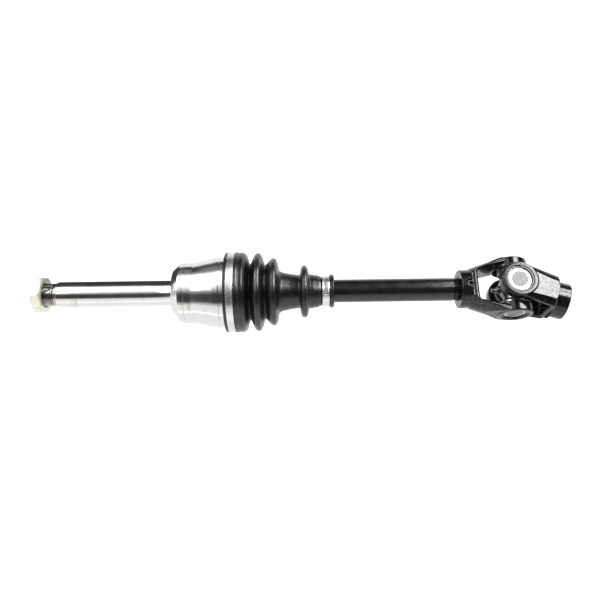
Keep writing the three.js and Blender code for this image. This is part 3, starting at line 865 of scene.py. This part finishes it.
def ear_parts(label, place, turn, body):
    """The cup, snap ring and seal in one ear, drawn along +X from the joint's centre."""
    onto = place @ Matrix.Rotation(turn, 4, "Z")
    cup = lathe(f"cup_{label}", filleted([
        (21.3, 0), (21.3, 9.0, 0.5), (12.6, 9.0, 0.2), (12.6, 10.15, 0.4), (22.5, 10.2, 0.5),
        (23.0, 9.9, 0.25), (23.0, 7.1, 0.12), (22.4, 6.9, 0.1), (22.4, 6.6, 0.1),
        (22.75, 6.35, 0.12), (22.7, 2.4), (22.7, 0)]), 96, sharp=28)
    moved(cup, onto)
    smooth(cup, 28)
    cup.data.materials.append(CAP_STEEL)
    cup.data.materials.append(CAP_DISC)
    axis = (onto.to_3x3() @ Vector((1, 0, 0))).normalized()
    centre = onto @ Vector((0, 0, 0))
    for face in cup.data.polygons:
        offset = Vector(face.center) - centre
        height = offset.dot(axis) / MM
        radius = (offset - axis * offset.dot(axis)).length / MM
        if height > DISC_LOW and radius < DISC_R:
            face.material_index = 1
    finished(cup, CAP_STEEL, body, "bright_steel", f"bearing_cup_{label}")

    ring = lathe(f"retaining_ring_{label}", filleted([
        (23.22, 9.9, 0.2), (23.22, 11.6), (24.18, 11.6), (24.18, 9.9, 0.3)], closed=True), 72,
        closed=True)
    gap = prism("gap", [(22, -2.2), (26, -2.2), (26, 2.2), (22, 2.2)], 0, 14, "Z")
    moved(gap, Matrix.Rotation(math.radians(200), 4, "X"))
    combine(ring, "DIFFERENCE", gap)
    moved(ring, onto)
    smooth(ring, 35)
    finished(ring, SHADED_SPRING_STEEL, body, "bearing_steel", f"snap_ring_{label}")

    seal = lathe(f"dust_seal_{label}", filleted([
        (11.2, 7.1, 0.3), (11.2, 9.2, 0.4), (11.7, 9.7, 0.3), (12.4, 9.7, 0.3), (12.4, 8.2, 0.2),
        (12.0, 7.1, 0.3)], closed=True), 72, closed=True)
    moved(seal, onto)
    finished(seal, SEAL, body, "seal_rubber", f"trunnion_seal_{label}")


for label, (place, turn, body) in EARS.items():
    ear_parts(label, place, turn, body)


def spider():
    """The cross: a forged hub with four ground trunnions and a grease nipple."""
    hub = lathe("spider", filleted([
        (-9.6, 0), (-9.6, 6.4, 2.0), (-6.0, 10.2, 2.5), (6.0, 10.2, 2.5), (9.6, 6.4, 2.0),
        (9.6, 0)]), 64)
    arm_line = filleted([
        (0, 0), (0, 9.4), (6.5, 9.3, 1.5), (8.8, 8.4, 1.0), (10.7, 8.3, 0.3), (10.8, 6.45, 0.2),
        (20.1, 6.45, 0.3), (20.8, 5.8), (20.8, 0)])
    for quarter in range(4):
        arm = lathe("arm", arm_line, 64)
        moved(arm, Matrix.Rotation(math.pi / 2 * quarter, 4, "X")
              @ Matrix.Rotation(math.pi / 2, 4, "Z"))
        combine(hub, "UNION", arm)
    bevelled(hub, 0.35, 2, 40)
    nipple = lathe("nipple", filleted([
        (8.4, 0), (8.4, 2.6), (9.6, 2.6, 0.3), (9.9, 3.4, 0.2), (12.0, 3.4, 0.2), (12.3, 2.3, 0.2),
        (13.6, 1.9, 0.3), (14.4, 1.5, 0.3), (15.2, 2.4, 0.5), (16.6, 2.0, 0.5), (17.2, 0.9, 0.3),
        (17.2, 0)]), 48)
    moved(nipple, Matrix.Rotation(math.pi - 0.28, 4, "Y"))
    joined(hub, nipple)
    moved(hub, Matrix.Translation((U_X * MM, 0, 0)))
    smooth(hub, 35)
    finished(hub, CROSS_STEEL, "cross", "bright_steel", "cross")


spider()

# ---------------------------------------------------------------- CAD pieces that stay
KEPT_LOOKS = {"bearing_steel": BEARING, "seal_rubber": SEAL}
SLOTS = {subpart["node"]: subpart["material_slot"] for subpart in record["subparts"]}
for name, node in frame["nodes"].items():
    if SLOTS[name] in KEPT_LOOKS:
        node.data.materials.clear()
        node.data.materials.append(KEPT_LOOKS[SLOTS[name]])
        smooth(node, 30)


# ---------------------------------------------------------------- floor, light and camera
# The floor is low enough for the shaft to bend down freely.
FLOOR_DROP = 0.2


def staged(name, corners, faces, material):
    """A flat stage piece, which isn't part of the object; its corners are in metres."""
    mesh = bpy.data.meshes.new(name)
    mesh.from_pydata(corners, [], faces)
    mesh.materials.append(material)
    obj = bpy.data.objects.new(name, mesh)
    bpy.context.scene.collection.objects.link(obj)
    return obj


def floor():
    """A pale floor that glows a little, so that it comes out white."""
    low, high = cad_box
    half = 3.0
    f = Finish("pale_floor", roughness=0.8, specular=0.2)
    f.colour(f.ramp(f.noise(0.004, 3), [(0.3, grey(0.42)), (0.7, grey(0.45))]))
    f.set("Emission Color", (1, 1, 1, 1))
    f.set("Emission Strength", 0.85)
    obj = staged("floor", [(-half, -half, 0), (half, -half, 0), (half, half, 0), (-half, half, 0)],
                 [(0, 1, 2, 3)], f.material)
    obj.location = ((low.x + high.x) / 2, 0, low.z - FLOOR_DROP)


floor()


def panel(name, centre, target, size, radiance):
    """A soft rectangular light of the given radiance that faces a point and shows in gloss only."""
    light = bpy.data.lights.new(name, "AREA")
    light.shape = "RECTANGLE"
    light.size, light.size_y = size
    light.energy = 4 * radiance * size[0] * size[1]
    obj = bpy.data.objects.new(name, light)
    bpy.context.scene.collection.objects.link(obj)
    obj.location = centre
    obj.rotation_euler = (Vector(target) - Vector(centre)).to_track_quat("-Z", "Y").to_euler()
    obj.visible_camera = False
    obj.visible_diffuse = False
    return obj


def overhead(x, angle, distance=1.2):
    """A point at an angle above the front horizon, in the plane across the axle."""
    a = math.radians(angle)
    return (x, -distance * math.cos(a), distance * math.sin(a))


def strips(name, x, length, bands, distance=1.2):
    """Soft boxes built of strips: each band is its first angle, last angle and radiance."""
    for number, (low, high, radiance) in enumerate(bands):
        middle = (low + high) / 2
        width = 2.03 * distance * math.tan(math.radians(high - low) / 2)
        panel(f"{name}_{number}", overhead(x, middle, distance), (x, 0, 0), (length, width),
              radiance)


strips("left_box", -0.45, 1.3, [(67, 73, 0.12), (73, 79, 0.35), (79, 85, 0.62), (85, 91, 1.0),
                                (91, 98, 1.25), (98, 136, 1.7), (136, 143, 0.8), (143, 165, 0.16)])
strips("right_box", 0.95, 0.8, [(96, 134, 0.32)])
strips("key_right", 1.6, 1.45, [(98, 121, 17.0)], 1.3)
strips("key_back", 1.2, 0.75, [(127, 148, 14.0)], 1.25)
strips("key_left", -0.95, 0.35, [(84, 140, 13.0)], 1.3)
panel("left_wall", (-1.3, 0, 0.35), (0, 0, 0.3), (2.6, 1.25), 0.9)
strips("front_wall", 0.23, 3.4, [(-10, 25, 1.0), (25, 33, 0.5)], 1.6)


def flag():
    """A black card behind the stub, bent like an L, that darkens the stub's far edge."""
    low, high, start = cad_box[0].z - 0.0002, 0.09, -0.25
    near, far = 0.012, 0.16
    near_end, far_end = 0.112, 0.068
    corners = [(start, near, low), (near_end, near, low), (start, far, low), (far_end, far, low),
               (start, far, high), (far_end, far, high)]
    f = Finish("black_card", roughness=0.9, specular=0.1)
    f.colour(f.ramp(f.noise(0.05), [(0.3, grey(0.03)), (0.7, grey(0.05))]))
    obj = staged("flag", corners, [(0, 1, 3, 2), (2, 3, 5, 4)], f.material)
    obj.visible_camera = False
    obj.visible_diffuse = False
    obj.visible_shadow = False


flag()

# Gloss sees a dark room outside the panels; everything else is lit evenly.
world = bpy.data.worlds.new("studio")
world.use_nodes = True
nodes, links = world.node_tree.nodes, world.node_tree.links
background = nodes["Background"]
path = nodes.new("ShaderNodeLightPath")
level = nodes.new("ShaderNodeMapRange")
level.inputs["To Min"].default_value = 1.05
level.inputs["To Max"].default_value = 0.06
links.new(path.outputs["Is Glossy Ray"], level.inputs["Value"])
links.new(level.outputs["Result"], background.inputs["Strength"])
background.inputs["Color"].default_value = (1, 1, 1, 1)

scene = bpy.context.scene
scene.world = world
scene.view_settings.view_transform = "Standard"
scene.view_settings.look = "None"

CAMERA_DISTANCE, CAMERA_ELEVATION, AIM_X, AIM_DROP, ROLL = 0.525, 70.0, 0.2304, 0.00744, 0.8
camera = bpy.data.cameras.new("camera")
camera.lens = 36
camera.sensor_width = 36
camera.clip_start, camera.clip_end = 0.01, 50
camera_object = bpy.data.objects.new("camera", camera)
scene.collection.objects.link(camera_object)
elevation = math.radians(CAMERA_ELEVATION)
back = Vector((0, -math.cos(elevation), math.sin(elevation)))
upward = Vector((0, math.sin(elevation), math.cos(elevation)))
turned = Matrix((Vector((1, 0, 0)), upward, back)).transposed().to_4x4()
camera_object.matrix_world = (
    Matrix.Translation(Vector((AIM_X, 0, 0)) + back * CAMERA_DISTANCE - upward * AIM_DROP)
    @ turned @ Matrix.Rotation(math.radians(-ROLL), 4, "Z"))
scene.camera = camera_object
